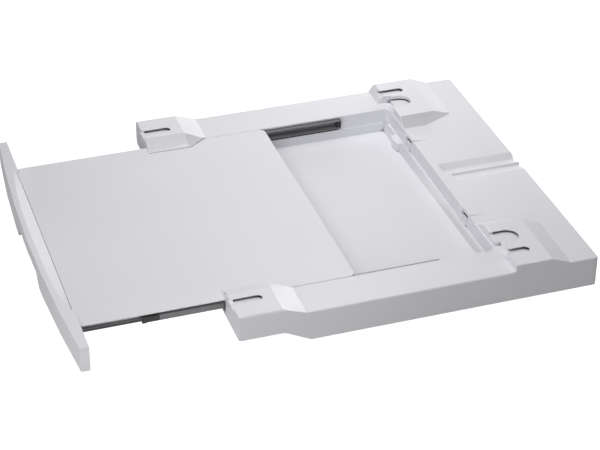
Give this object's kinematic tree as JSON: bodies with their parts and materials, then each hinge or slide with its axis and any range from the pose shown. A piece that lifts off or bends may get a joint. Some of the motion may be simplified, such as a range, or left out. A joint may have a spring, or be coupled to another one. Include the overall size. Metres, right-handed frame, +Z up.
{
  "type": "washer dryer stacking kit",
  "caption": "Low white stacking frame that carries a dryer on a washer, with foot slots in raised pads and a pull-out shelf on ball-bearing slides.",
  "frame": {"origin": "on the ground, under the middle of the whole kit with its shelf as shown", "axes": "+X to the kit's right as seen from the front, +Y from the front panel to the rear, +Z up"},
  "size_m": [0.6, 0.823, 0.0635],
  "materials": {
    "white_plastic": "semi-gloss moulded",
    "slide_steel": "dark zinc",
    "cage_steel": "bright",
    "screw_steel": "zinc plated",
    "stop_plastic": "moulded",
    "black_rubber": "matt"
  },
  "bodies": {
    "frame": {"frame_shell": "white_plastic", "cabinet_member_right": "slide_steel", "cabinet_member_left": "slide_steel", "cabinet_screw_right_front": "screw_steel", "cabinet_screw_right_middle": "screw_steel", "cabinet_screw_right_rear": "screw_steel", "cabinet_screw_left_front": "screw_steel", "cabinet_screw_left_middle": "screw_steel", "cabinet_screw_left_rear": "screw_steel", "rear_bumper_right": "black_rubber", "rear_bumper_left": "black_rubber", "rubber_pad_right_front": "black_rubber", "rubber_pad_right_rear": "black_rubber", "rubber_pad_left_front": "black_rubber", "rubber_pad_left_rear": "black_rubber"},
    "shelf": {"shelf_board": "white_plastic", "front_panel": "white_plastic", "drawer_member_right": "slide_steel", "drawer_member_left": "slide_steel", "drawer_screw_right_front": "screw_steel", "drawer_screw_right_middle": "screw_steel", "drawer_screw_right_rear": "screw_steel", "drawer_screw_left_front": "screw_steel", "drawer_screw_left_middle": "screw_steel", "drawer_screw_left_rear": "screw_steel", "panel_screw_1": "screw_steel", "panel_screw_2": "screw_steel", "panel_screw_3": "screw_steel", "panel_screw_4": "screw_steel"},
    "middle_right": {"middle_member_right": "slide_steel", "front_stop_right": "stop_plastic"},
    "outer_cage_right": {"outer_ball_cage_right": "cage_steel"},
    "inner_cage_right": {"inner_ball_cage_right": "cage_steel"},
    "middle_left": {"middle_member_left": "slide_steel", "front_stop_left": "stop_plastic"},
    "outer_cage_left": {"outer_ball_cage_left": "cage_steel"},
    "inner_cage_left": {"inner_ball_cage_left": "cage_steel"}
  },
  "joints": [
    {"name": "shelf_slide", "type": "slide", "parent": "frame", "child": "shelf", "axis": [0, -1, 0], "range_m": [-0.218, 0.107]},
    {"name": "middle_slide_right", "type": "slide", "parent": "frame", "child": "middle_right", "axis": [0, -1, 0], "range_m": [-0.12862, 0.06313]},
    {"name": "outer_cage_slide_right", "type": "slide", "parent": "frame", "child": "outer_cage_right", "axis": [0, -1, 0], "range_m": [-0.06431, 0.03157]},
    {"name": "inner_cage_slide_right", "type": "slide", "parent": "frame", "child": "inner_cage_right", "axis": [0, -1, 0], "range_m": [-0.17331, 0.08507]},
    {"name": "middle_slide_left", "type": "slide", "parent": "frame", "child": "middle_left", "axis": [0, -1, 0], "range_m": [-0.12862, 0.06313]},
    {"name": "outer_cage_slide_left", "type": "slide", "parent": "frame", "child": "outer_cage_left", "axis": [0, -1, 0], "range_m": [-0.06431, 0.03157]},
    {"name": "inner_cage_slide_left", "type": "slide", "parent": "frame", "child": "inner_cage_left", "axis": [0, -1, 0], "range_m": [-0.17331, 0.08507]}
  ],
  "couplings": [
    {"joint": "middle_slide_right", "follows": "shelf_slide", "ratio": 0.59},
    {"joint": "outer_cage_slide_right", "follows": "shelf_slide", "ratio": 0.295},
    {"joint": "inner_cage_slide_right", "follows": "shelf_slide", "ratio": 0.795},
    {"joint": "middle_slide_left", "follows": "shelf_slide", "ratio": 0.59},
    {"joint": "outer_cage_slide_left", "follows": "shelf_slide", "ratio": 0.295},
    {"joint": "inner_cage_slide_left", "follows": "shelf_slide", "ratio": 0.795}
  ]
}
